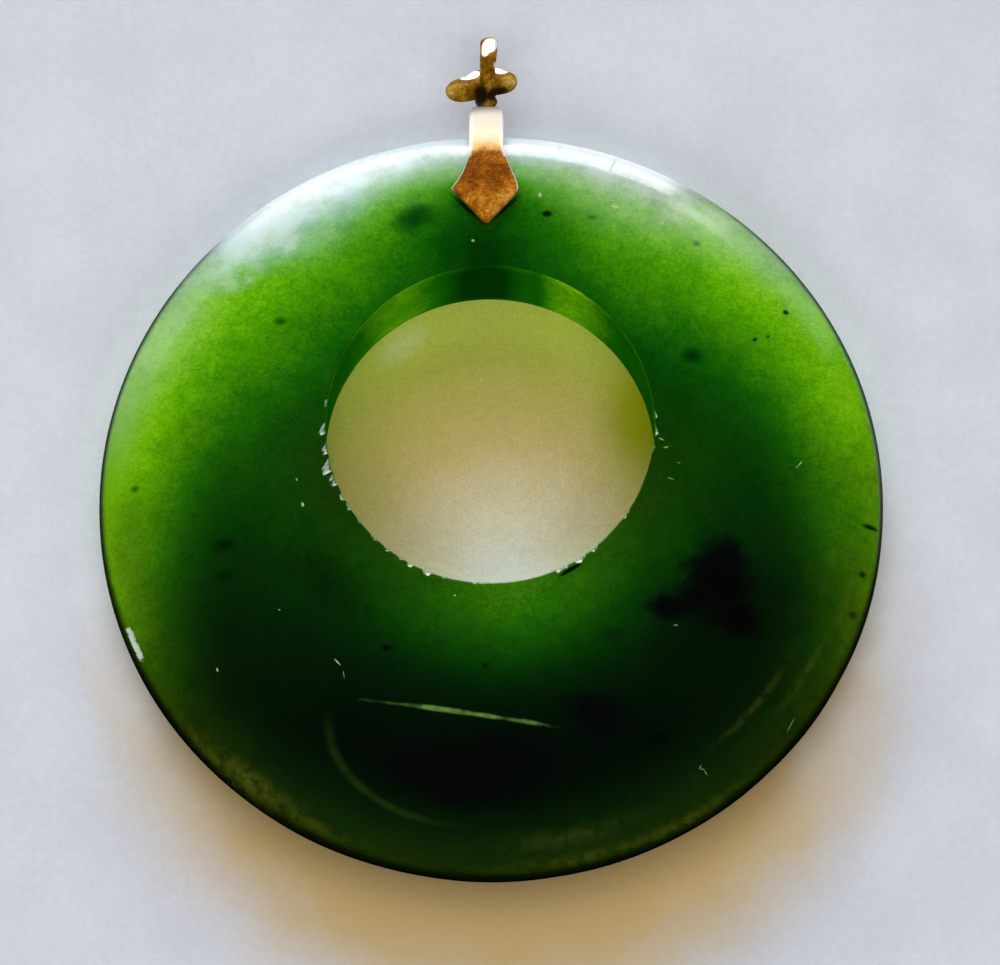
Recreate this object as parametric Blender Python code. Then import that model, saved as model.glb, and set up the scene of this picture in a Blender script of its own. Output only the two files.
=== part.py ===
# Jade ring pendant lying on its back: a polished lens-shaped jade disc with an
# off-centre hole, a folded sheet bail clipped over the rim, and a small cast crown
# with two petals and the chain loop, soldered to the fold of the bail.
# Metres, +Z up. The narrow side of the disc, with the bail, points along +Y.
# The origin is under the middle of the whole pendant, on the surface it lies on.

import bpy
import math
import numpy as np

# Jade disc
HOLE_DIAMETER = 0.0212
NARROW_BAND = 0.0098      # stone between hole and rim on the bail's side
WIDE_BAND = 0.0190        # stone between hole and rim on the far side
HOLE_SIDESTEP = -0.0001   # the hole sits a little left of the middle
THICKNESS = 0.0066
EDGE_HEIGHT = 0.0005      # upright flat that is left on the outermost edge
NARROW_LAND = 0.0006      # flat ground left beside the hole on the narrow side
FULLNESS = 1.6            # shoulder curve: 1 is a cone, 2 an ellipse

# Bail strip
SHEET = 0.0004
FIT_GAP = 0.0003          # between neighbours, and under the tab
BAIL_SIDESTEP = -0.00035  # the bail is clipped on a little left of the middle
FOLD_REACH = 0.00216      # from the rim out to the nose of the fold
NECK_WIDTH = 0.0022
NECK_LENGTH = 0.0013      # from the rim in to where the leaf starts to flare
LEAF_WIDTH = 0.0045
FLARE_LENGTH = 0.00327    # from the neck to the leaf's corners
POINT_LENGTH = 0.00238    # from the corners to the tip
TIP_WIDTH = 0.0003
FLARE_POWER = 2.2         # how late the neck widens
LIFT_OFF = 0.0006         # where the sheet leaves the stone, in from the rim
FOLD_FLARE = 0.0009       # reach of the fold curve's handles
TAB_FLOOR_ROOM = 0.00006  # the back tab stays this far off the ground

# Bail crown
LOOP_DIAMETER = 0.00430
LOOP_WALL = 0.00075       # radial thickness of the chain loop
LOOP_WIDTH_TOP = 0.00120  # across the loop at its top
LOOP_WIDTH_FOOT = 0.00088
LOOP_LEAN = math.radians(3.0)
PETAL_TILT = math.radians(11.0)
PETAL_RISE = 0.00080      # bar of petals above the loop's foot
PETAL_PROUD = 0.00100     # bar of petals in front of the loop's middle plane
PETAL_THICKNESS = 0.00105
PETAL_OVERLAP = 0.00035   # how far each petal runs in past the middle
LEFT_PETAL_REACH = 0.00265
LEFT_PETAL_HEIGHT = 0.00168
RIGHT_PETAL_REACH = 0.00203
RIGHT_PETAL_HEIGHT = 0.00155
BOSS_WIDTH = 0.00235      # the swelling where petals and loop meet
BOSS_HEIGHT = 0.00170
BOSS_DEPTH = 0.00125
BOSS_LIFT = 0.00022       # its middle above the bar of petals
STEM_WIDTH = 0.00125
STEM_HEIGHT = 0.00125
STEM_DEPTH = 0.00170

# Facets
DISC_SEGMENTS = 96
SHOULDER_ROWS = 8
LOOP_SEGMENTS = 28
BAND_SEGMENTS = 10
PETAL_ROWS = 10
PETAL_SEGMENTS = 14

# Worked out from the sizes above
DISC_RADIUS = (NARROW_BAND + HOLE_DIAMETER + WIDE_BAND) / 2
SHOULDER_WIDTH = NARROW_BAND - NARROW_LAND
SHOULDER_RISE = (THICKNESS - EDGE_HEIGHT) / 2
MID_HEIGHT = THICKNESS / 2
OVERHANG = FOLD_REACH + FIT_GAP + LOOP_DIAMETER
DISC_Y = -OVERHANG / 2
RIM_Y = DISC_Y + DISC_RADIUS
HOLE_Y = RIM_Y - NARROW_BAND - HOLE_DIAMETER / 2
LEAF_LENGTH = NECK_LENGTH + FLARE_LENGTH + POINT_LENGTH


def clear_scene():
    for item in list(bpy.data.objects):
        bpy.data.objects.remove(item, do_unlink=True)


def plain_material(name, colour, roughness, metallic):
    material = bpy.data.materials.new(name)
    material.use_nodes = True
    shader = material.node_tree.nodes["Principled BSDF"]
    shader.inputs["Base Color"].default_value = (*colour, 1.0)
    shader.inputs["Roughness"].default_value = roughness
    shader.inputs["Metallic"].default_value = metallic
    return material


def make_object(name, points, faces, material):
    mesh = bpy.data.meshes.new(name)
    mesh.from_pydata([tuple(p) for p in points], [], faces)
    mesh.validate()
    mesh.materials.append(material)
    made = bpy.data.objects.new(name, mesh)
    bpy.context.scene.collection.objects.link(made)
    mesh.shade_smooth()
    mesh.set_sharp_from_angle(angle=math.radians(35))
    return made


def tube_faces(rows, columns, closed):
    # Quads between rings of points; closed joins the last ring to the first.
    faces = []
    for i in range(rows if closed else rows - 1):
        for j in range(columns):
            k = (j + 1) % columns
            n = (i + 1) % rows
            faces.append((i * columns + j, i * columns + k, n * columns + k, n * columns + j))
    return faces


def shoulder_height(inward):
    # Height of the stone's face over its middle plane, at a distance in from the rim:
    # a quarter of a superellipse that ends in the flat ground.
    share = np.clip(inward / SHOULDER_WIDTH, 0.0, 1.0)
    return EDGE_HEIGHT / 2 + SHOULDER_RISE * (1 - (1 - share) ** FULLNESS) ** (1 / FULLNESS)


def circle(centre_x, centre_y, radius, height):
    turn = np.arange(DISC_SEGMENTS) * 2 * math.pi / DISC_SEGMENTS
    return np.stack([
        centre_x + radius * np.cos(turn),
        centre_y + radius * np.sin(turn),
        np.full(DISC_SEGMENTS, height),
    ], axis=1)


def build_disc(material):
    # Rings from the top of the hole outwards over the upper shoulder, down the edge,
    # back under the lower shoulder and to the bottom of the hole.
    share = (np.arange(SHOULDER_ROWS + 1) / SHOULDER_ROWS) ** 1.8
    inward = SHOULDER_WIDTH * share
    heights = shoulder_height(inward)
    rings = [circle(HOLE_SIDESTEP, HOLE_Y, HOLE_DIAMETER / 2, THICKNESS)]
    for step, height in reversed(list(zip(inward, heights))):
        rings.append(circle(0.0, DISC_Y, DISC_RADIUS - step, MID_HEIGHT + height))
    for step, height in zip(inward, heights):
        rings.append(circle(0.0, DISC_Y, DISC_RADIUS - step, MID_HEIGHT - height))
    rings.append(circle(HOLE_SIDESTEP, HOLE_Y, HOLE_DIAMETER / 2, 0.0))
    faces = tube_faces(len(rings), DISC_SEGMENTS, closed=True)
    return make_object("jade_disc", np.concatenate(rings), [f[::-1] for f in faces], material)


def stone_path(inward, side):
    # Middle of the sheet where it lies along the stone, on the front (side 1) or the
    # back (side -1): the shoulder curve moved out along its own normal.
    step = 1e-6
    slope = (shoulder_height(inward + step) - shoulder_height(inward)) / step
    length = math.hypot(1.0, slope)
    clear = FIT_GAP + SHEET / 2
    y = RIM_Y - inward + clear * slope / length
    z = shoulder_height(inward) + clear / length
    return np.array([y, MID_HEIGHT + side * z])


def fold_path(share, side):
    # Middle of the sheet from the stone (share 0) out to the nose of the fold (share 1),
    # a cubic curve that starts along the shoulder and ends square to the middle plane.
    start = stone_path(LIFT_OFF, 1)
    before = stone_path(LIFT_OFF + 1e-5, 1)
    along = (start - before) / np.linalg.norm(start - before)
    nose = np.array([RIM_Y + FOLD_REACH - SHEET / 2, MID_HEIGHT])
    first = start + along * FOLD_FLARE
    second = nose + np.array([0.0, 0.62 * (start[1] - MID_HEIGHT)])
    back = 1 - share
    point = (back ** 3 * start + 3 * back ** 2 * share * first
             + 3 * back * share ** 2 * second + share ** 3 * nose)
    return np.array([point[0], MID_HEIGHT + side * (point[1] - MID_HEIGHT)])


def leaf_width(inward):
    # Width of the front leaf: straight neck, late flare to the corners, straight point.
    if inward <= NECK_LENGTH:
        return NECK_WIDTH
    if inward <= NECK_LENGTH + FLARE_LENGTH:
        share = (inward - NECK_LENGTH) / FLARE_LENGTH
        return NECK_WIDTH + (LEAF_WIDTH - NECK_WIDTH) * share ** FLARE_POWER
    share = (inward - NECK_LENGTH - FLARE_LENGTH) / POINT_LENGTH
    return LEAF_WIDTH + (TIP_WIDTH - LEAF_WIDTH) * share


def tab_length():
    # How far in the back tab can lie before the sheet would touch the ground.
    room = FIT_GAP + SHEET + TAB_FLOOR_ROOM
    height = 1 - room / SHOULDER_RISE
    return SHOULDER_WIDTH * (1 - (1 - height ** FULLNESS) ** (1 / FULLNESS))


def tab_width(inward, length):
    # Width of the plain back tab: the neck's width with a round end.
    from_end = (length - inward) / (NECK_WIDTH / 2)
    if from_end >= 1:
        return NECK_WIDTH
    return max(TIP_WIDTH, NECK_WIDTH * math.sqrt(max(0.0, 1 - (1 - from_end) ** 2)))


def build_strip(material):
    # The sheet's middle line in the YZ plane with its width, from the front tip round
    # the nose to the end of the back tab, then four corner points at each station.
    corner = NECK_LENGTH + FLARE_LENGTH
    stations = list(np.linspace(LEAF_LENGTH, corner, 4))
    stations += list(np.linspace(corner, NECK_LENGTH, 7)[1:])
    stations += list(np.linspace(NECK_LENGTH, LIFT_OFF, 3)[1:])
    line = [(stone_path(s, 1), leaf_width(s)) for s in stations]
    fold = np.linspace(0.0, 1.0, 8)[1:]
    line += [(fold_path(s, 1), NECK_WIDTH) for s in fold]
    line += [(fold_path(s, -1), NECK_WIDTH) for s in fold[-2::-1]]
    length = tab_length()
    round_part = NECK_WIDTH / 2
    tab = list(np.linspace(LIFT_OFF, length - round_part, 4))
    tab += [length - round_part * (1 - math.sin(a)) for a in np.linspace(0, math.pi / 2, 6)[1:]]
    line += [(stone_path(s, -1), tab_width(s, length)) for s in tab]

    middle = np.array([point for point, width in line])
    half = np.array([width for point, width in line]) / 2
    tangent = np.gradient(middle, axis=0)
    tangent /= np.linalg.norm(tangent, axis=1)[:, None]
    # On the way from the tip to the nose the outer side is on the left of the tangent.
    outward = np.stack([-tangent[:, 1], tangent[:, 0]], axis=1) * SHEET / 2
    points = []
    for spot, w, out in zip(middle, half, outward):
        top = spot + out
        low = spot - out
        points.append((BAIL_SIDESTEP - w, top[0], top[1]))
        points.append((BAIL_SIDESTEP + w, top[0], top[1]))
        points.append((BAIL_SIDESTEP + w, low[0], low[1]))
        points.append((BAIL_SIDESTEP - w, low[0], low[1]))
    count = len(line)
    faces = tube_faces(count, 4, closed=False)
    faces.append((3, 2, 1, 0))
    last = 4 * (count - 1)
    faces.append((last, last + 1, last + 2, last + 3))
    return make_object("bail_strip", points, faces, material)


def loop_points():
    # A round loop in the YZ plane, leaning a little to the right at the top. The section
    # is an ellipse, as wide as the top width at the top and the foot width at the foot.
    around = np.arange(LOOP_SEGMENTS) * 2 * math.pi / LOOP_SEGMENTS
    across = np.arange(BAND_SEGMENTS) * 2 * math.pi / BAND_SEGMENTS
    a, b = np.meshgrid(around, across, indexing="ij")
    middle = (LOOP_DIAMETER - LOOP_WALL) / 2
    radius = middle + LOOP_WALL / 2 * np.cos(b)
    height = radius * np.cos(a)
    width = LOOP_WIDTH_FOOT + (LOOP_WIDTH_TOP - LOOP_WIDTH_FOOT) * (1 + np.cos(a)) / 2
    from_foot = height + LOOP_DIAMETER / 2
    x = BAIL_SIDESTEP + width / 2 * np.sin(b) + from_foot * math.tan(LOOP_LEAN)
    y = RIM_Y + OVERHANG - LOOP_DIAMETER / 2 + height
    z = MID_HEIGHT + radius * np.sin(a)
    return np.stack([x, y, z], axis=2).reshape(-1, 3)


def egg(centre, size, turn):
    # An ellipsoid with its poles on the left and right, turned about the Z axis.
    rows = np.linspace(0.0, math.pi, PETAL_ROWS + 1)[1:-1]
    around = np.arange(PETAL_SEGMENTS) * 2 * math.pi / PETAL_SEGMENTS
    r, a = np.meshgrid(rows, around, indexing="ij")
    ball = np.stack([-np.cos(r), np.sin(r) * np.cos(a), np.sin(r) * np.sin(a)], axis=2)
    points = np.concatenate([ball.reshape(-1, 3), [[-1, 0, 0]], [[1, 0, 0]]])
    points = points * np.array(size) / 2
    spin = np.array([[math.cos(turn), -math.sin(turn), 0],
                     [math.sin(turn), math.cos(turn), 0],
                     [0, 0, 1]])
    points = points @ spin.T + np.array(centre)
    faces = [f[::-1] for f in tube_faces(PETAL_ROWS - 1, PETAL_SEGMENTS, closed=False)]
    left = (PETAL_ROWS - 1) * PETAL_SEGMENTS
    start = (PETAL_ROWS - 2) * PETAL_SEGMENTS
    for j in range(PETAL_SEGMENTS):
        k = (j + 1) % PETAL_SEGMENTS
        faces.append((left, j, k))
        faces.append((left + 1, start + k, start + j))
    return points, [f[::-1] for f in faces]


def build_crown(material):
    faces = tube_faces(LOOP_SEGMENTS, BAND_SEGMENTS, closed=True)
    crown = make_object("bail_crown", loop_points(), faces, material)
    foot_y = RIM_Y + FOLD_REACH + FIT_GAP
    bar_y = foot_y + PETAL_RISE
    bar_z = MID_HEIGHT + PETAL_PROUD

    def petal_centre(offset):
        return (BAIL_SIDESTEP + offset * math.cos(PETAL_TILT),
                bar_y + offset * math.sin(PETAL_TILT), bar_z)

    left_length = LEFT_PETAL_REACH + PETAL_OVERLAP
    right_length = RIGHT_PETAL_REACH + PETAL_OVERLAP
    eggs = [
        ("petal_left", petal_centre((PETAL_OVERLAP - LEFT_PETAL_REACH) / 2),
         (left_length, LEFT_PETAL_HEIGHT, PETAL_THICKNESS), PETAL_TILT),
        ("petal_right", petal_centre((RIGHT_PETAL_REACH - PETAL_OVERLAP) / 2),
         (right_length, RIGHT_PETAL_HEIGHT, PETAL_THICKNESS), PETAL_TILT),
        ("boss", (BAIL_SIDESTEP, bar_y + BOSS_LIFT, bar_z - PETAL_THICKNESS / 4),
         (BOSS_WIDTH, BOSS_HEIGHT, BOSS_DEPTH), PETAL_TILT),
        ("stem", (BAIL_SIDESTEP, foot_y + STEM_HEIGHT / 2, MID_HEIGHT + STEM_DEPTH / 4),
         (STEM_WIDTH, STEM_HEIGHT, STEM_DEPTH), 0.0),
    ]
    for name, centre, size, turn in eggs:
        points, egg_faces = egg(centre, size, turn)
        guide = make_object(name, points, egg_faces, material)
        guide.hide_render = True
        guide.display_type = "WIRE"
        union = crown.modifiers.new(name, "BOOLEAN")
        union.operation = "UNION"
        union.object = guide
    return crown


def main():
    clear_scene()
    jade = plain_material("jade", (0.03, 0.16, 0.01), 0.18, 0.0)
    gold = plain_material("gold_plate", (0.62, 0.34, 0.12), 0.32, 1.0)
    build_disc(jade)
    build_strip(gold)
    build_crown(gold)


main()
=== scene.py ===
import math

import bpy
import numpy as np
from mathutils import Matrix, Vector


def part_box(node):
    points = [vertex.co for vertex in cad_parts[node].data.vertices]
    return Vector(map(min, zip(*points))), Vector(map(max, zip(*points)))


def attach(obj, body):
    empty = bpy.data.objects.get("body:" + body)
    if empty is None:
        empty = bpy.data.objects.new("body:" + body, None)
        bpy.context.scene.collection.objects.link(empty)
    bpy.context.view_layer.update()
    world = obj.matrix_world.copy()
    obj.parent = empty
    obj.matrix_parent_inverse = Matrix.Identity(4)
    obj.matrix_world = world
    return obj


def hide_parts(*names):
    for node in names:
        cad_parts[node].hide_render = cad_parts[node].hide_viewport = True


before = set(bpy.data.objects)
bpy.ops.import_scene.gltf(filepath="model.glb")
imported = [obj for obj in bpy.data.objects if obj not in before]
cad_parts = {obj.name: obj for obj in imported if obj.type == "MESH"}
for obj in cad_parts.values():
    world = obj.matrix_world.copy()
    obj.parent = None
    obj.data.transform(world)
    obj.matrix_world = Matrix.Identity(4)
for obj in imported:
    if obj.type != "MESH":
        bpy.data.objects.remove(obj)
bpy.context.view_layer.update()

mm = 0.001

# Places and sizes that come from the frame
stoneLow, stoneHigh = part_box("jade_disc")
stripLow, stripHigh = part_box("bail_strip")
stoneX = (stoneLow.x + stoneHigh.x) / 2
stoneY = (stoneLow.y + stoneHigh.y) / 2
stoneRadius = (stoneHigh.x - stoneLow.x) / 2
stoneTop = stoneHigh.z
midZ = (stoneLow.z + stoneHigh.z) / 2
rimY = stoneHigh.y
print("frame read, stone radius", round(stoneRadius / mm, 2), "mm")


# Shared helpers

def smoothStep(low, high, value):
    # 0 below low, 1 above high, and 3t2 - 2t3 between them
    share = np.clip((value - low) / (high - low), 0.0, 1.0)
    return share * share * (3 - 2 * share)


def bell(value, centre, spread):
    # 1 at the centre, falling as exp(-(distance / spread)2)
    return np.exp(-((value - centre) / spread) ** 2)


def turnBell(degrees, centre, spread):
    # the same bell on a circle, in degrees
    return np.exp(-(((degrees - centre + 180) % 360 - 180) / spread) ** 2)


def span(value, low, full, fade, end):
    # 0 outside, rising to 1 from low to full and falling to 0 again from fade to end
    return smoothStep(low, full, value) * (1 - smoothStep(fade, end, value))


def ringNoise(angles, waves, seed):
    # a smooth closed line of noise: sines of the given whole numbers of waves, random phases
    draw = np.random.default_rng(seed)
    total = np.zeros_like(angles)
    for count in waves:
        total += np.sin(angles * count + draw.uniform(0, 2 * math.pi)) * draw.uniform(0.5, 1.0)
    return total / math.sqrt(len(waves))


def gridFaces(rows, columns, closeRows):
    # quads over a grid whose columns always close on themselves
    i = np.arange(rows if closeRows else rows - 1)[:, None]
    j = np.arange(columns)[None, :]
    nextRow = (i + 1) % rows
    nextColumn = (j + 1) % columns
    quads = np.stack([
        i * columns + j,
        i * columns + nextColumn,
        nextRow * columns + nextColumn,
        nextRow * columns + j,
    ], axis=-1)
    return quads.reshape(-1, 4)


def meshPiece(name, points, faces, material):
    mesh = bpy.data.meshes.new(name)
    mesh.from_pydata(points.reshape(-1, 3).tolist(), [], [tuple(f) for f in faces])
    mesh.update()
    mesh.shade_smooth()
    mesh.materials.append(material)
    piece = bpy.data.objects.new(name, mesh)
    bpy.context.scene.collection.objects.link(piece)
    return piece


def storeValue(piece, name, values):
    layer = piece.data.attributes.new(name, "FLOAT", "POINT")
    layer.data.foreach_set("value", np.ascontiguousarray(values, dtype=np.float32).ravel())


class NodeKit:
    # short calls for wiring one material's nodes
    def __init__(self, name):
        self.material = bpy.data.materials.new(name)
        self.material.use_nodes = True
        self.tree = self.material.node_tree
        self.shader = self.tree.nodes["Principled BSDF"]
        self.place = self.add("ShaderNodeTexCoord").outputs["Object"]

    def add(self, kind, **settings):
        node = self.tree.nodes.new(kind)
        for key, value in settings.items():
            setattr(node, key, value)
        return node

    def feed(self, socket, value):
        if isinstance(value, bpy.types.NodeSocket):
            self.tree.links.new(value, socket)
        else:
            socket.default_value = value

    def math(self, operation, first, second=0.0, clamp=False):
        node = self.add("ShaderNodeMath", operation=operation, use_clamp=clamp)
        self.feed(node.inputs[0], first)
        self.feed(node.inputs[1], second)
        return node.outputs[0]

    def chain(self, operation, values):
        total = values[0]
        for value in values[1:]:
            total = self.math(operation, total, value)
        return total

    def times(self, *values):
        return self.chain("MULTIPLY", values)

    def plus(self, *values):
        return self.chain("ADD", values)

    def most(self, *values):
        return self.chain("MAXIMUM", values)

    def rest(self, value):
        # what is left of 1
        return self.math("SUBTRACT", 1.0, value)

    def centred(self, value, amount):
        # a noise moved to lie round zero, times an amount
        return self.times(self.math("SUBTRACT", value, 0.5), amount)

    def remap(self, value, low, high, newLow=0.0, newHigh=1.0):
        node = self.add("ShaderNodeMapRange", interpolation_type="SMOOTHSTEP")
        self.feed(node.inputs["Value"], value)
        node.inputs["From Min"].default_value = low
        node.inputs["From Max"].default_value = high
        node.inputs["To Min"].default_value = newLow
        node.inputs["To Max"].default_value = newHigh
        return node.outputs["Result"]

    def noise(self, scale, detail, rough):
        node = self.add("ShaderNodeTexNoise")
        self.feed(node.inputs["Vector"], self.place)
        node.inputs["Scale"].default_value = scale
        node.inputs["Detail"].default_value = detail
        node.inputs["Roughness"].default_value = rough
        return node.outputs["Fac"]

    def speckle(self, scale, detail, rough, amount):
        return self.centred(self.noise(scale, detail, rough), amount)

    def attribute(self, name):
        return self.add("ShaderNodeAttribute", attribute_name=name).outputs["Fac"]

    def axis(self, index):
        # the place's X, Y or Z, by number
        split = self.add("ShaderNodeSeparateXYZ")
        self.feed(split.inputs[0], self.place)
        return split.outputs[index]

    def mix(self, share, first, second):
        node = self.add("ShaderNodeMix", data_type="RGBA")
        self.feed(node.inputs["Factor"], share)
        for name, colour in (("A", first), ("B", second)):
            self.feed(node.inputs[name], (*colour, 1.0) if isinstance(colour, tuple) else colour)
        return node.outputs["Result"]

    def scaled(self, colour, factor):
        node = self.add("ShaderNodeVectorMath", operation="SCALE")
        self.feed(node.inputs[0], colour)
        self.feed(node.inputs["Scale"], factor)
        return node.outputs[0]

    def ramp(self, value, stops):
        node = self.add("ShaderNodeValToRGB")
        self.feed(node.inputs["Fac"], value)
        band = node.color_ramp
        band.elements[0].position = stops[0][0]
        band.elements[0].color = (*stops[0][1], 1.0)
        band.elements[1].position = stops[-1][0]
        band.elements[1].color = (*stops[-1][1], 1.0)
        for position, colour in stops[1:-1]:
            stop = band.elements.new(position)
            stop.color = (*colour, 1.0)
        return node.outputs["Color"]

    def bump(self, height, strength, distance):
        node = self.add("ShaderNodeBump")
        self.feed(node.inputs["Height"], height)
        node.inputs["Strength"].default_value = strength
        node.inputs["Distance"].default_value = distance
        return node.outputs["Normal"]

    def spread(self, x, y, width, height, turn=0.0, bow=0.0):
        # distance from x, y in half widths and half heights of a turned oval: 1 on its
        # edge. Millimetres from the middle of the stone, and degrees; bow bends the long axis.
        mapping = self.add("ShaderNodeMapping", vector_type="TEXTURE")
        self.feed(mapping.inputs["Vector"], self.place)
        mapping.inputs["Location"].default_value = (stoneX + x * mm, stoneY + y * mm, 0.0)
        mapping.inputs["Rotation"].default_value = (0.0, 0.0, math.radians(turn))
        mapping.inputs["Scale"].default_value = (width * mm / 2, height * mm / 2, 1.0)
        split = self.add("ShaderNodeSeparateXYZ")
        self.feed(split.inputs[0], mapping.outputs[0])
        along, across = split.outputs[0], split.outputs[1]
        if bow:
            across = self.math("SUBTRACT", across, self.times(along, along, bow))
        return self.math("SQRT", self.plus(self.times(along, along), self.times(across, across)))

    def spot(self, x, y, width, height, turn, soft):
        # an oval mark: 1 inside, fading to 0 over the outer share that soft gives
        return self.remap(self.spread(x, y, width, height, turn), 1.0 - soft, 1.0, 1.0, 0.0)

    def spots(self, places):
        # the strongest of several oval marks
        return self.most(*[self.spot(*place) for place in places])

    def finish(self, inputs):
        # wires the shader and gives the material; a plain number is set on its socket
        for name, value in inputs.items():
            self.feed(self.shader.inputs[name], value)
        return self.material


# Jade disc

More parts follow.
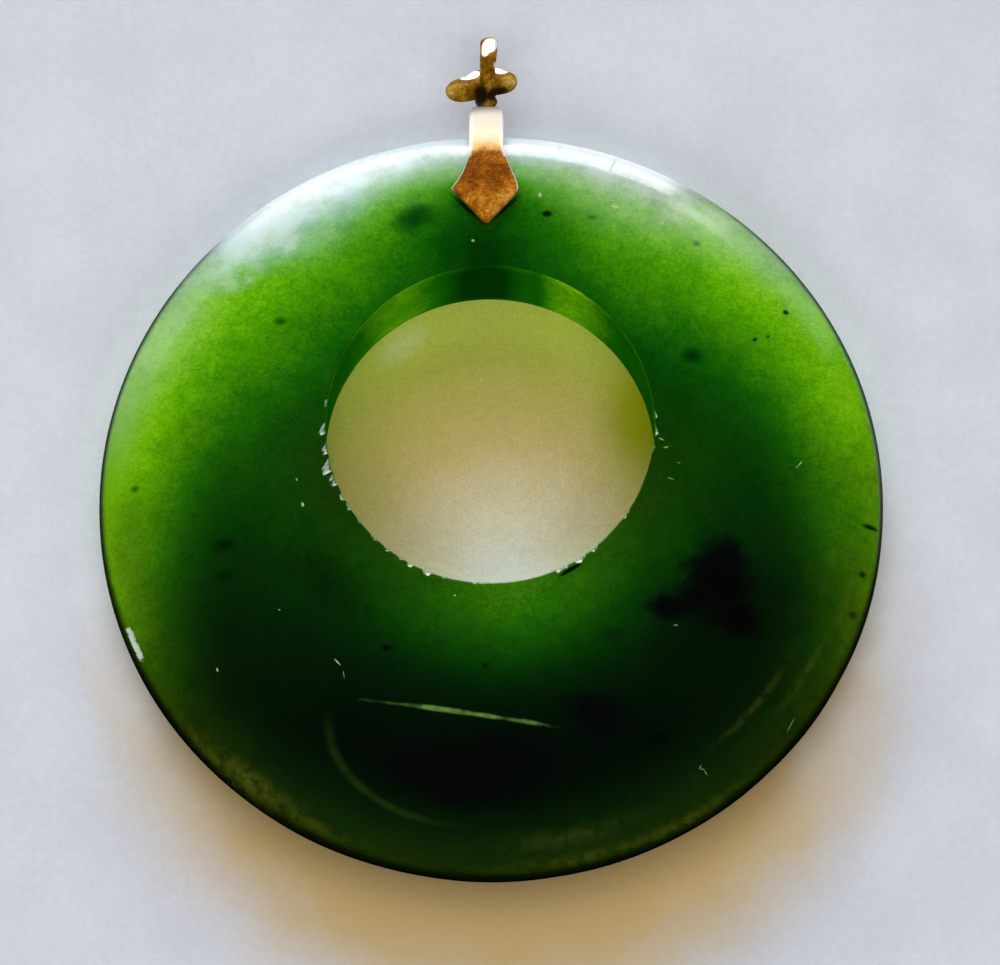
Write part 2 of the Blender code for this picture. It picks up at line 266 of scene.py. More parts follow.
stone = {
    "landRadius": 15.8 * mm,      # the faces are flat inside this circle
    "edgeHeight": 0.5 * mm,
    "fullness": 1.6,              # exponent of the shoulder curve
    "holeHalfWidth": 10.48 * mm,  # the hole is a little oval
    "holeHalfHeight": 10.64 * mm,
    "holeX": stoneX - 0.1 * mm,
    "holeY": rimY - 9.8 * mm - 10.6 * mm,
    "turnSteps": 720,
    "holeWear": 0.05 * mm,        # bevel that handling left on the rim of the hole
    "outlineWave": 0.05 * mm,
    # broken places on the upper rim of the hole: angle, spread in degrees, size in mm
    "holeChips": [
        (172, 1.6, 0.24), (181.5, 2.0, 0.6), (188.5, 1.7, 0.5), (194.5, 2.3, 0.74),
        (199.8, 2.0, 0.6), (206.5, 1.6, 0.4), (211, 1.4, 0.22), (217, 1.0, 0.16),
        (225, 1.8, 0.18), (231, 1.2, 0.26), (236.5, 1.6, 0.2), (241, 1.1, 0.3),
        (247.5, 1.6, 0.34), (253, 1.3, 0.18), (266, 3.0, 0.14), (296, 3.4, 0.22),
        (303, 2.6, 0.3), (309, 1.6, 0.24), (326, 2.4, 0.16), (352, 1.6, 0.26),
        (358, 1.8, 0.34), (4, 1.3, 0.22),
    ],
    # one flake is off the outer shoulder: angle, half length in degrees, mm in, half width
    "edgeFlake": (202.4, 2.7, 0.42 * mm, 0.16 * mm),
    "flakeDepth": 0.12 * mm,
    "whiteFrom": 0.05 * mm,       # a chip this deep starts to look white
    "whiteOver": 0.06 * mm,
    # painted light inside the stone
    "rimStrength": 0.125,         # at the rim all round
    "northStrength": 0.69,        # what the rim towards the window adds
    "glowReach": 6.0,             # mm that the light gets in from the rim
    "northReach": 4.2,            # mm more towards the window
    "holeStrength": 0.31,         # at the hole's wall that faces the window
    "holeReach": 6.0,
    "glowBase": 0.02,
    "bailShade": 0.62,            # how much light the bail keeps out of the stone behind it
    # golden streaks along the rim: angle, spread in degrees, mm in, width in mm, strength
    "streaks": [
        (231, 7, 0.85, 0.55, 0.8), (223, 7, 0.5, 0.25, 0.5), (240, 7, 0.7, 0.3, 0.45),
        (285, 10, 0.6, 0.25, 0.4), (300, 9, 0.5, 0.25, 0.5), (330, 6, 1.9, 0.2, 0.38),
        (320, 8, 3.2, 0.18, 0.35), (344, 6, 1.5, 0.2, 0.4), (351, 5, 3.0, 0.2, 0.3),
        (282, 9, 1.9, 0.5, 0.25), (188, 10, 1.6, 1.2, 0.35), (338, 4, 0.7, 0.35, 0.4),
    ],
    # painted light in the wall of the hole: angle, spread in degrees, how much lighter
    "wallPatches": [
        (124, 12, 0.42), (60, 13, 0.52), (92, 13, -0.42), (73, 3.5, -0.2), (40, 10, -0.08)],
    "wallLight": 0.31,
    "topLight": 3.1,              # light on flat ground, and from the window on a slope
    "windowLight": 5.0,
    # how the rim looks, with its painted reflections of the window (edge, veil, band): degrees between
    # which a layer rises, and between which it falls
    "edgeSpan": (58, 64, 122, 138),
    "veilSpan": (54, 76, 130, 146),
    "bandSpan": (22, 46, 160, 178),
    "shadedSpan": (52, 66, 126, 140),
    "paleSpan": (25, 45, 148, 162),
    "outlineGap": (50, 60, 128, 138),
    "polishGap": (50, 62, 126, 140),
    "outlineWidth": 0.28,         # mm
    "edgeColour": (0.66, 0.72, 0.74),
    "veilColour": (0.42, 0.55, 0.6),
    "bandColour": (0.56, 0.58, 0.5),
    "frostReflectionColour": (0.46, 0.58, 0.5),
    "brokenColour": (0.66, 0.72, 0.62),
    "paleColour": (0.46, 0.6, 0.24),
    "bowedLineColour": (0.13, 0.26, 0.04),
    "ringColour": (0.022, 0.055, 0.004),
    "goldenColour": (0.09, 0.105, 0.008),
    # places where the polish is worn dull and painted pale with the window's reflection, and dark breaks
    # in the painted white line of the rim
    "frostSpots": [
        (-14.6, 17.6, 9.5, 3.8, 40, 0.8), (-15.9, 15.0, 4.6, 2.4, 35, 0.8),
        (-12.9, 16.9, 1.3, 3.6, -28, 0.9)],
    "edgeGaps": [(7.7, 22.7, 1.9, 0.34, 68, 0.8), (4.3, 23.9, 1.2, 0.28, 78, 0.8)],
    # dark clouds and inclusions inside the stone; the two thin marks at y 19.3 are the painted shadow of
    # the bail's leaf, and the wide one under the bail's point is partly painted shade: x, y, width,
    # height, turn, soft, depth
    "darkMarks": [
        (-5.0, 18.6, 4.0, 2.8, 20, 1.0, 0.5), (-1.0, 16.2, 9.0, 5.0, -5, 1.0, 0.35),
        (14.4, -5.6, 6.0, 6.4, -20, 0.7, 0.95), (11.3, -7.7, 3.8, 2.4, 0, 0.7, 0.9),
        (15.6, -8.4, 4.4, 3.0, -15, 0.7, 0.93), (6.9, -14.9, 6.5, 4.2, -10, 0.9, 0.85),
        (14.5, -8.0, 14.0, 11.0, 10, 1.0, 0.45), (-1.6, 19.32, 3.3, 0.42, -46, 0.9, 0.6),
        (0.95, 19.35, 3.1, 0.42, 48, 0.9, 0.6), (7.7, -9.5, 3.0, 1.6, 0, 1.0, 0.25),
        (10.6, -16.3, 2.4, 1.4, 10, 0.9, 0.8), (-1.5, -18.6, 14.5, 6.0, 2, 0.6, 0.72),
        (-17.0, -3.5, 2.0, 1.3, 10, 1.0, 0.45), (-17.0, -5.6, 1.8, 1.1, 0, 1.0, 0.35),
        (12.8, 9.2, 2.2, 1.6, -10, 1.0, 0.5), (-13.5, 11.6, 1.3, 0.9, 10, 1.0, 0.4),
        (3.53, 18.93, 0.85, 0.62, 0, 0.7, 0.8), (18.76, 12.59, 0.5, 0.5, 0, 0.7, 0.75),
        (16.78, 10.49, 0.55, 0.36, 35, 0.8, 0.55), (17.61, 10.76, 0.35, 0.3, 0, 0.8, 0.45),
        (-22.7, 0.7, 0.9, 0.7, 0, 1.0, 0.45), (-6.67, -10.42, 0.95, 0.55, 0, 0.8, 0.8),
        (-0.43, -11.6, 0.8, 0.45, 20, 0.9, 0.5), (24.1, -1.62, 1.5, 0.5, -8, 0.9, 0.8),
        (23.6, -4.8, 0.7, 0.7, 0, 0.9, 0.6), (6.4, 18.7, 1.0, 0.6, 0, 1.0, 0.35),
        (13.1, 17.1, 0.9, 0.7, 0, 1.0, 0.4), (23.0, -7.53, 0.8, 0.8, 0, 0.9, 0.6),
        (5.05, -5.15, 2.3, 0.42, 32, 0.7, 0.9), (-8.0, -17.0, 9.0, 5.0, -40, 1.0, 0.25),
        (13.2, -7.0, 5.4, 3.6, 0, 0.8, 0.9), (-10.3, -6.2, 8.0, 5.5, -40, 1.0, 0.28),
    ],
    # pale flecks, scratches and healed cracks: x, y, width, height, turn, strength
    "paleMarks": [
        (-1.19, 17.0, 0.3, 0.26, 0, 0.6), (-12.03, -0.8, 0.24, 0.4, 10, 0.8),
        (-12.41, 0.88, 0.16, 0.26, 0, 0.5), (-17.44, -11.62, 0.16, 0.36, 15, 0.8),
        (-9.8, -11.37, 0.75, 0.13, -48, 0.8), (-9.4, -12.2, 0.65, 0.08, -80, 0.4),
        (19.65, 2.14, 0.5, 0.12, 55, 0.7), (19.45, 1.9, 0.3, 0.1, 75, 0.5),
        (13.25, -18.0, 0.42, 0.08, 60, 0.5), (13.6, -18.3, 0.45, 0.08, -50, 0.5),
        (13.4, -18.1, 0.4, 0.08, 5, 0.4), (19.01, -14.88, 1.3, 0.07, 62, 0.4),
        (10.8, 3.6, 0.55, 0.13, -25, 0.5), (11.1, 3.05, 0.4, 0.15, 10, 0.5),
        (11.4, 0.95, 0.6, 0.08, -20, 0.4), (11.9, 2.0, 0.35, 0.07, -15, 0.35),
        (-2.34, -6.9, 0.2, 0.2, 0, 0.6), (3.08, 20.31, 0.3, 0.5, 10, 0.5),
        (7.86, 19.55, 0.7, 0.16, -15, 0.6), (10.9, 18.5, 0.22, 0.2, 0, 0.5),
        (-13.5, -7.87, 0.18, 0.14, 0, 0.5), (11.7, -8.9, 0.4, 0.14, 0, 0.3),
    ],
}


def shoulderHeight(inward):
    # height over the middle plane at a distance in from the rim: a quarter superellipse
    width = stoneRadius - stone["landRadius"]
    rise = (stoneTop - stoneLow.z - stone["edgeHeight"]) / 2
    share = np.clip(inward / width, 0.0, 1.0)
    power = stone["fullness"]
    return stone["edgeHeight"] / 2 + rise * (1 - (1 - share) ** power) ** (1 / power)


def shoulderSlope(inward):
    # how fast the shoulder rises inwards
    step = 1e-6
    return (shoulderHeight(inward + step) - shoulderHeight(inward)) / step


def roundStone(points):
    # mm from the middle of the stone, the turn in degrees, and mm in from the rim
    x = (points[..., 0] - stoneX) / mm
    y = (points[..., 1] - stoneY) / mm
    inward = np.clip(stoneRadius / mm - np.hypot(x, y), 0, None)
    return x, y, np.degrees(np.arctan2(y, x)), inward


def bitesAt(degrees, bites):
    # the deepest of several flat-bottomed bites round a ring: size times exp(-(turn / spread)4)
    total = np.zeros_like(degrees)
    for angle, spread, size in bites:
        turn = ((degrees - angle + 180) % 360 - 180) / spread
        total = np.maximum(total, size * mm * np.exp(-turn ** 4))
    return total


def stoneSection():
    # The section's stations as kind and share: over the top land, the upper shoulder, the
    # edge, the lower shoulder, the lower land, and up the wall of the hole.
    topLand = [("topLand", q) for q in np.linspace(0, 1, 16)[:-1] ** 1.7]
    upper = [("upper", 1 - q) for q in np.append(np.linspace(0, 1, 46)[:-1] ** 0.62, (0.992, 0.9965))]
    edge = [("edge", q) for q in np.linspace(1, -1, 7)[:-1]]
    lower = [("lower", q) for q in np.linspace(0, 1, 30)[:-1] ** 1.6]
    lowerLand = [("lowerLand", 1 - q) for q in np.linspace(0, 1, 8)[:-1]]
    wall = [("wall", q) for q in 1 - np.linspace(1, 0, 17)[:-1] ** 1.6]
    return topLand + upper + edge + lower + lowerLand + wall


def stonePoints():
    # Each station is a closed ring. On the shoulders a point is centre + (radius - inward)
    # along the turn, at mid height +- the shoulder curve. On the lands it slides straight
    # from the hole's oval (share 0) to the land's circle (share 1). The rim of the hole
    # is cut back along the diagonal by the chips, and one flake is off the outer shoulder.
    steps = stone["turnSteps"]
    turn = np.arange(steps) * 2 * math.pi / steps
    degrees = np.degrees(turn)
    cosT, sinT = np.cos(turn), np.sin(turn)
    width = stoneRadius - stone["landRadius"]
    jagged = 0.80 + 0.42 * ringNoise(turn, (47, 83, 131, 197), 5)
    chips = bitesAt(degrees, stone["holeChips"]) * np.clip(jagged, 0.25, 1.4)
    chips = np.maximum(chips, stone["holeWear"] * (1 + 0.35 * ringNoise(turn, (17, 31, 53, 89), 8)))
    flakeAngle, flakeSpread, flakeIn, flakeWidth = stone["edgeFlake"]
    flakeRow = np.exp(-((degrees - flakeAngle) / flakeSpread) ** 6)
    wave = stone["outlineWave"] * (np.abs(ringNoise(turn, (3, 5, 8, 13), 3)) - 1.6).clip(-2, 0)
    outer = wave * smoothStep(-0.2, 0.8, np.cos(turn - math.radians(300)))
    uneven = 0.035 * mm * ringNoise(turn, (6, 9, 14), 12) * turnBell(degrees, 320, 50)
    rings, breaks = [], []
    for kind, share in stoneSection():
        if kind in ("upper", "edge", "lower"):
            inward = width * share if kind != "edge" else 0.0
            radius = stoneRadius - inward + outer * np.exp(-inward / (1.5 * mm))
            flake = flakeRow * np.exp(-((inward - flakeIn) / flakeWidth) ** 4)
            side = {"upper": 1.0, "edge": share, "lower": -1.0}[kind]
            height = shoulderHeight(inward) if kind != "edge" else stone["edgeHeight"] / 2
            x = stoneX + radius * cosT
            y = stoneY + radius * sinT
            z = midZ + side * height + np.zeros(steps)
            broken = np.zeros(steps)
            if kind == "upper":
                z = z - stone["flakeDepth"] * flake
                broken = 2.0 * smoothStep(0.35, 0.6, flake)
        else:
            holeX = stone["holeX"] + (stone["holeHalfWidth"] + uneven) * cosT
            holeY = stone["holeY"] + (stone["holeHalfHeight"] + uneven) * sinT
            landX = stoneX + stone["landRadius"] * cosT
            landY = stoneY + stone["landRadius"] * sinT
            slide = share if kind != "wall" else 0.0
            x = holeX + (landX - holeX) * slide
            y = holeY + (landY - holeY) * slide
            reach = np.hypot(landX - holeX, landY - holeY) * slide
            if kind == "wall":
                z = np.full(steps, stoneLow.z + share * (stoneTop - stoneLow.z))
                depth = stoneTop - z
                lowCut = np.clip((stone["holeWear"] - (z - stoneLow.z)) / 2, 0, None)
                x = x + lowCut * cosT
                y = y + lowCut * sinT
            else:
                z = np.full(steps, stoneTop if kind == "topLand" else stoneLow.z)
                depth = reach
            cut = np.clip((chips - depth) / 2, 0, None) if kind != "lowerLand" else 0.0
            x = x + cut * cosT
            y = y + cut * sinT
            z = z - cut
            broken = (cut - stone["whiteFrom"]) / stone["whiteOver"] + np.zeros(steps)
        rings.append(np.stack([x, y, z], axis=1))
        breaks.append(broken)
    return np.array(rings), np.clip(np.array(breaks), 0.0, 2.0)


def paintedStoneLight(points):
    # The painted light inside the stone: how light it looks at each place, from 0 to 1. Light enters the
    # rim, most where it faces the window, and fades inwards as exp(-(s / reach)2.1). It also enters the
    # wall of the hole that faces the window and fades as exp(-(d / reach)2.6).
    x, y, degrees, inward = roundStone(points)
    north = np.sin(np.radians(degrees + 4))
    facing = smoothStep(-0.6, 0.7, north + 0.3 * turnBell(degrees, 195, 28))
    strength = stone["rimStrength"] + stone["northStrength"] * facing
    strength = strength * (1 + 0.16 * turnBell(degrees, 165, 20))
    further = smoothStep(-0.15, 0.9, north) * (1 - 0.45 * turnBell(degrees, 18, 30))
    reach = stone["glowReach"] * (0.7 + 0.3 * smoothStep(-0.6, 0.1, north)) \
        + stone["northReach"] * further + 1.4 * turnBell(degrees, 170, 30)
    low = stone["glowBase"] + 0.13 * smoothStep(-1.15, 0.2, y / 20) \
        + 0.045 * turnBell(degrees, 172, 40) * bell(inward, 9.0, 4.0)
    rim = strength * np.exp(-(inward / reach) ** 2.1)
    rim = rim * (1 - 0.72 * np.exp(-(inward / 1.9) ** 1.5) * span(degrees, *stone["shadedSpan"]))
    # painted shadow of the bail in the stone behind it
    shade = turnBell(degrees, 91, 8 + 1.4 * inward) * smoothStep(2.0, 6.0, inward)
    rim = rim * (1 - stone["bailShade"] * shade)
    holeX = x - (stone["holeX"] - stoneX) / mm
    holeY = y - (stone["holeY"] - stoneY) / mm
    outward = np.clip(np.hypot(holeX, holeY) - 10.55, 0, None)
    holeDegrees = np.degrees(np.arctan2(holeY, holeX))
    hole = 0.06 + (stone["holeStrength"] - 0.06) * turnBell(holeDegrees, 278, 38)
    level = np.sqrt(rim ** 2 + low ** 2) + hole * np.exp(-(outward / stone["holeReach"]) ** 2.6)
    # painted shade: the very edge is dark except towards the window
    thin = np.exp(-(inward / stone["outlineWidth"]) ** 3)
    level = level * (1 - 0.76 * thin * (1 - smoothStep(0.74, 0.88, north)))
    level = level * (1 - 0.17 * span(degrees, *stone["paleSpan"]) * bell(inward, 0, 1.6))
    # a yellower painted tint where the light has come only a short way in from the rim or the hole
    olive = np.clip(np.exp(-inward / 3.2) * (1 - 0.7 * smoothStep(0.1, 0.5, north))
                    + 0.45 * np.exp(-outward / 3.5) * smoothStep(5, -5, holeY), 0, 1)
    return np.clip(level, 0.0, 1.0), olive


def paintedRimReflection(points):
    # Painted reflections of the window on the rim: a white highlight at the very edge that faces the
    # window, a bluish veil that is widest on the left, and a pale sheen band that runs on down both sides.
    # Each fades inwards as exp(-(s / width)n), n = 3, 4 and 3.
    degrees, inward = roundStone(points)[2:]
    edge = np.exp(-inward ** 3) * span(degrees, *stone["edgeSpan"])
    edge = edge * (1 - 0.55 * turnBell(degrees, 98, 13) * bell(inward, 0, 0.6))
    veilWidth = 2.0 + 2.3 * turnBell(degrees, 122, 14)
    veil = np.exp(-(inward / veilWidth) ** 4) * span(degrees, *stone["veilSpan"])
    bandWidth = 1.6 + 2.4 * turnBell(degrees, 66, 22) + 1.4 * turnBell(degrees, 150, 12)
    band = np.exp(-(inward / bandWidth) ** 3) * (0.26 + 0.30 * turnBell(degrees, 66, 14))
    outline = np.exp(-(inward / stone["outlineWidth"]) ** 4) * (1 - span(degrees, *stone["outlineGap"]))
    return edge, veil, band * span(degrees, *stone["bandSpan"]) * (1 - outline)


def rimPolish(points):
    # how polished the shoulder is: dull at the very edge, further in on the side away from
    # the window, as 1 - exp(-(s / width)2)
    degrees, inward = roundStone(points)[2:]
    width = 0.25 + 0.60 * smoothStep(0.2, -0.6, np.sin(np.radians(degrees)))
    return 1 - bell(inward, 0, width) * (1 - span(degrees, *stone["polishGap"]))


def rimStreaks(points):
    # the golden streaks: a bell across times a bell along, the strongest of them at each place
    degrees, inward = roundStone(points)[2:]
    total = np.zeros_like(inward)
    for angle, spread, place, width, strength in stone["streaks"]:
        streak = strength * turnBell(degrees, angle, spread) * bell(inward, place, width)
        total = np.maximum(total, streak)
    return total * (points[..., 2] > midZ)


def wallLight(points):
    # painted light in the wall of the hole: patches round the hole, lighter at foot and top edge
    x = points[..., 0] - stone["holeX"]
    y = points[..., 1] - stone["holeY"]
    degrees = np.degrees(np.arctan2(y, x))
    foot = np.exp(-((points[..., 2] - stoneLow.z) / (0.35 * mm)) ** 2)
    top = np.exp(-((stoneTop - points[..., 2]) / (0.6 * mm)) ** 2)
    total = np.full_like(x, stone["wallLight"])
    for angle, spread, change in stone["wallPatches"]:
        total = total + change * turnBell(degrees, angle, spread)
    return np.clip(total + 0.30 * foot + 0.16 * top, 0.0, 1.0)


def evenLight(points):
    # How much more light than the flat ground the shoulder gets where it leans to the
    # window: (top cos(tilt) + window sin(tilt) north) / top, with a floor under it.
    degrees, inward = roundStone(points)[2:]
    slope = shoulderSlope(np.clip(inward, 0.3, None) * mm)
    tilt = np.arctan(slope) * np.where(points[..., 2] > midZ, 1.0, 0.0)
    north = np.sin(np.radians(degrees))
    got = stone["topLight"] * np.cos(tilt) + stone["windowLight"] * np.sin(tilt) * north
    return np.clip(got, 1.6, None) / stone["topLight"]


def markLevel(kit, level):
    # each dark mark takes its depth off the level; wide ones have a ragged edge
    ragged = kit.speckle(430, 4.0, 0.65, 1.1)
    for x, y, width, height, turn, soft, depth in stone["darkMarks"]:
        reach = kit.spread(x, y, width, height, turn)
        if width > 2.5:
            reach = kit.plus(reach, ragged)
        mark = kit.times(kit.remap(reach, 1.0 - soft, 1.0, 1.0, 0.0), depth)
        level = kit.times(level, kit.rest(mark))
    return level


def flakeWhite(kit):
    # fresh broken stone is pale and dull
    broken = kit.attribute("broken")
    flakes = kit.remap(kit.noise(2600, 4.0, 0.65), 0.4, 0.52)
    white = kit.times(kit.math("MINIMUM", broken, 1.0), flakes)
    return kit.times(kit.most(white, kit.math("SUBTRACT", broken, 1.0)), 0.92)


def jadeMaterial():
    kit = NodeKit("polishedJade")
    grain = kit.plus(kit.speckle(230, 4.0, 0.6, 0.34), kit.speckle(800, 4.0, 0.65, 0.34),
                     kit.speckle(2600, 3.0, 0.7, 0.36), kit.speckle(7500, 2.0, 0.6, 0.42))
    # the painted light inside the stone sets how light its green is
    level = kit.times(kit.attribute("paintedGlow"), kit.plus(grain, 1.0))
    level = markLevel(kit, level)
    green = kit.ramp(level, [
        (0.000, (0.0006, 0.001, 0.0008)), (0.055, (0.0004, 0.0044, 0.001)),
        (0.11, (0.0003, 0.0116, 0.0008)), (0.165, (0.0003, 0.0232, 0.0006)),
        (0.263, (0.001, 0.0561, 0.0005)), (0.33, (0.004, 0.089, 0.0005)),
        (0.396, (0.0108, 0.13, 0.0006)), (0.48, (0.038, 0.195, 0.0007)),
        (0.56, (0.06, 0.275, 0.0008)), (0.667, (0.127, 0.402, 0.001)),
        (0.76, (0.2, 0.52, 0.01)),
    ])
    yellow = kit.ramp(level, [
        (0.000, (0.0012, 0.0012, 0.0006)), (0.11, (0.0055, 0.011, 0.0006)),
        (0.176, (0.0137, 0.026, 0.0006)), (0.263, (0.028, 0.0561, 0.0008)),
        (0.396, (0.056, 0.13, 0.0012)), (0.48, (0.08, 0.195, 0.0012)),
        (0.667, (0.15, 0.402, 0.002)),
    ])
    patchy = kit.remap(kit.noise(330, 3.0, 0.6), 0.25, 0.7, 0.5, 1.0)
    # yellower where the painted light has come only a short way in
    colour = kit.mix(kit.times(kit.attribute("olive"), patchy), green, yellow)
    above = kit.remap(kit.axis(2), midZ, midZ + 0.3 * mm)
    marks = [kit.times(kit.spot(x, y, width, height, turn, 0.7), strength)
             for x, y, width, height, turn, strength in stone["paleMarks"]]
    pale = kit.times(kit.most(*marks), above)
    colour = kit.mix(pale, colour, stone["paleColour"])
    # a long pale bowed line over the dark patch of the lower half, and a dark ring round that patch
    uneven = kit.remap(kit.noise(900, 3.0, 0.6), 0.3, 0.62, 0.3, 1.0)
    bowedLine = kit.spread(-1.7, -14.75, 13.6, 0.44, -8.5, bow=-0.55)
    bowedLine = kit.remap(kit.plus(bowedLine, kit.speckle(650, 2.0, 0.5, 1.0)), 0.2, 1.0, 1.0, 0.0)
    colour = kit.mix(kit.times(bowedLine, above, uneven), colour, stone["bowedLineColour"])
    ring = kit.math("ABSOLUTE", kit.math("SUBTRACT", kit.spread(-0.6, -15.3, 19.6, 13.5), 1.0))
    ring = kit.times(kit.remap(ring, 0.0, 0.05, 1.0, 0.0), kit.spot(-7.2, -19.4, 15.5, 12.0, 0, 0.6))
    uneven = kit.remap(kit.noise(500, 3.0, 0.6), 0.3, 0.65, 0.12, 0.48)
    colour = kit.mix(kit.times(ring, above, uneven), colour, stone["ringColour"])
    uneven = kit.remap(kit.noise(1300, 4.0, 0.6), 0.34, 0.62, 0.15, 0.95)
    colour = kit.mix(kit.times(kit.attribute("streak"), uneven), colour, stone["goldenColour"])
    # painted reflections of the window on the rim: a sheen band, a bluish veil and a white edge highlight,
    # with a few dark breaks in its white line
    cloudy = kit.remap(kit.noise(620, 5.0, 0.65), 0.3, 0.62, 0.45, 1.0)
    colour = kit.mix(kit.times(kit.attribute("band"), cloudy), colour, stone["bandColour"])
    colour = kit.mix(kit.times(kit.attribute("veil"), cloudy, 0.8), colour, stone["veilColour"])
    gaps = kit.spots(stone["edgeGaps"])
    colour = kit.mix(kit.times(kit.attribute("paintedEdgeHighlight"), kit.rest(gaps)), colour, stone["edgeColour"])
    white = flakeWhite(kit)
    colour = kit.mix(white, colour, stone["brokenColour"])
    # the polish is worn dull in ragged patches on the upper left of the rim, and these patches are also
    # painted pale with the window's reflection
    ragged = kit.remap(kit.plus(kit.noise(520, 5.0, 0.7), kit.speckle(190, 2.0, 0.5, 0.5)), 0.34, 0.66)
    frost = kit.times(kit.spots(stone["frostSpots"]), ragged, above)
    colour = kit.mix(kit.times(frost, 0.55), colour, stone["frostReflectionColour"])
    dullShare = kit.times(kit.spot(-10.5, 19.5, 24.0, 11.0, 30, 0.7), 0.1)
    dull = kit.plus(kit.times(kit.most(white, pale), 0.4), kit.times(kit.most(frost, gaps), 0.2),
                    dullShare, kit.times(kit.attribute("paintedEdgeHighlight"), 0.12))
    rough = kit.remap(kit.noise(900, 4.0, 0.6), 0.3, 0.75, 0.08, 0.14)
    rough = kit.math("ADD", rough, dull, clamp=True)
    height = kit.plus(kit.times(kit.noise(1500, 5.0, 0.65), 0.6), kit.times(kit.noise(420, 2.0, 0.5), 1.2))
    return kit.finish({
        "Base Color": colour,
        "Roughness": rough,
        "Normal": kit.bump(height, 0.16, 0.03 * mm),
        "Specular IOR Level": kit.remap(kit.attribute("polish"), 0, 1, 0.0, 0.5),
        "IOR": 1.61,
    })


def groundJadeMaterial():
    # the wall of the hole and the outer edge were ground and never polished
    kit = NodeKit("groundJade")
    cloud = kit.plus(kit.speckle(420, 3.0, 0.6, 1.0), kit.speckle(2600, 3.0, 0.6, 0.8))
    light = kit.times(kit.attribute("wallLight"), kit.plus(cloud, 1.0))
    wallColour = kit.ramp(light, [
        (0.0, (0.001, 0.045, 0.001)), (0.35, (0.012, 0.19, 0.002)),
        (0.8, (0.13, 0.47, 0.003)), (1.0, (0.3, 0.68, 0.004)),
    ])
    # the upright edge takes the stone's painted light, dark where little is painted
    rimColour = kit.ramp(kit.attribute("paintedGlow"), [
        (0.0, (0.0008, 0.002, 0.0005)), (0.1, (0.002, 0.006, 0.0008)),
        (0.3, (0.004, 0.07, 0.013)),
    ])
    colour = kit.mix(kit.attribute("wall"), rimColour, wallColour)
    # painted highlight of the window on the upright edge that faces it
    colour = kit.mix(kit.attribute("paintedEdgeHighlight"), colour, (0.6, 0.68, 0.68))
    return kit.finish({
        "Base Color": kit.mix(flakeWhite(kit), colour, stone["brokenColour"]),
        "Roughness": 0.5,
        "Specular IOR Level": 0.0,
        "Normal": kit.bump(kit.noise(2600, 3.0, 0.6), 0.2, 0.02 * mm),
    })


def makeStone():
    points, broken = stonePoints()
    rows, columns = points.shape[:2]
    faces = gridFaces(rows, columns, closeRows=True)[:, ::-1]
    piece = meshPiece("jadeRing", points, faces, jadeMaterial())
    level, olive = paintedStoneLight(points)
    paintedEdgeHighlight, veil, band = paintedRimReflection(points)
    kinds = np.array([kind for kind, share in stoneSection()])
    wall = (kinds == "wall")[:, None] + np.zeros(columns)
    # the second finish is on the wall of the hole and on the upright edge
    piece.data.materials.append(groundJadeMaterial())
    ground = (wall > 0) | (kinds == "edge")[:, None]
    piece.data.polygons.foreach_set("material_index", ground.ravel().astype(np.int32))
    # the painted light is darkened where the lamps light the shoulder more
    values = {
        "paintedGlow": level * evenLight(points) ** (-1 / 2.2), "olive": olive, "paintedEdgeHighlight": paintedEdgeHighlight, "veil": veil,
        "band": band, "polish": rimPolish(points), "streak": rimStreaks(points),
        "wallLight": wallLight(points), "broken": broken, "wall": wall,
    }
    for name, value in values.items():
        storeValue(piece, name, value)
    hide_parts("jade_disc")
    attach(piece, "root")
    print("stone:", rows, "rings of", columns)


# Bail strip

strip = {
    "sheet": 0.4 * mm,
    "fitGap": 0.3 * mm,
    "middleX": (stripLow.x + stripHigh.x) / 2,
    "foldReach": stripHigh.y - rimY,
    "neckWidth": 2.2 * mm,
    "neckLength": 1.3 * mm,
    "leafWidth": stripHigh.x - stripLow.x,
    "flareLength": 3.27 * mm,
    "pointLength": 2.38 * mm,
    "leftFlare": 2.2,             # how late each side of the leaf widens
    "rightFlare": 1.45,
    "rightReach": 2.07 * mm,      # the right corner is worn round
    "tipWidth": 0.3 * mm,
    "liftOff": 0.6 * mm,
    "foldFlare": 0.9 * mm,
    "foldTuck": 0.62,
    "dome": 0.07 * mm,            # how much higher the middle of the leaf stands
}


def stripStone(inward, side):
    # the sheet's middle where it lies along the stone: the shoulder moved out along its normal
    slope = shoulderSlope(inward)
    length = np.hypot(1.0, slope)
    clear = strip["fitGap"] + strip["sheet"] / 2
    return np.stack([rimY - inward + clear * slope / length,
                     midZ + side * (shoulderHeight(inward) + clear / length)], axis=-1)


def stripFold(share, side):
    # a cubic curve from the lift-off point, along the shoulder, to the nose of the fold
    start = stripStone(np.array(strip["liftOff"]), 1)
    before = stripStone(np.array(strip["liftOff"] + 1e-5), 1)
    along = (start - before) / np.linalg.norm(start - before)
    nose = np.array([rimY + strip["foldReach"] - strip["sheet"] / 2, midZ])
    first = start + along * strip["foldFlare"]
    second = nose + np.array([0.0, strip["foldTuck"] * (start[1] - midZ)])
    s = share[:, None]
    curve = ((1 - s) ** 3 * start + 3 * (1 - s) ** 2 * s * first
             + 3 * (1 - s) * s ** 2 * second + s ** 3 * nose)
    curve[:, 1] = midZ + side * (curve[:, 1] - midZ)
    return curve


def leafHalf(inward, flarePower, reach):
    # half width of the front: neck, flare to the corner, straight point; reach rounds it off
    neck, wide = strip["neckWidth"] / 2, strip["leafWidth"] / 2
    corner = strip["neckLength"] + strip["flareLength"]
    flare = np.clip((inward - strip["neckLength"]) / strip["flareLength"], 0, 1)
    point = np.clip((inward - corner) / strip["pointLength"], 0, 1)
    half = neck + (wide - neck) * flare ** flarePower + (strip["tipWidth"] / 2 - wide) * point
    soft = 0.10 * mm
    return -soft * np.log(np.exp(-half / soft) + np.exp(-reach / soft))


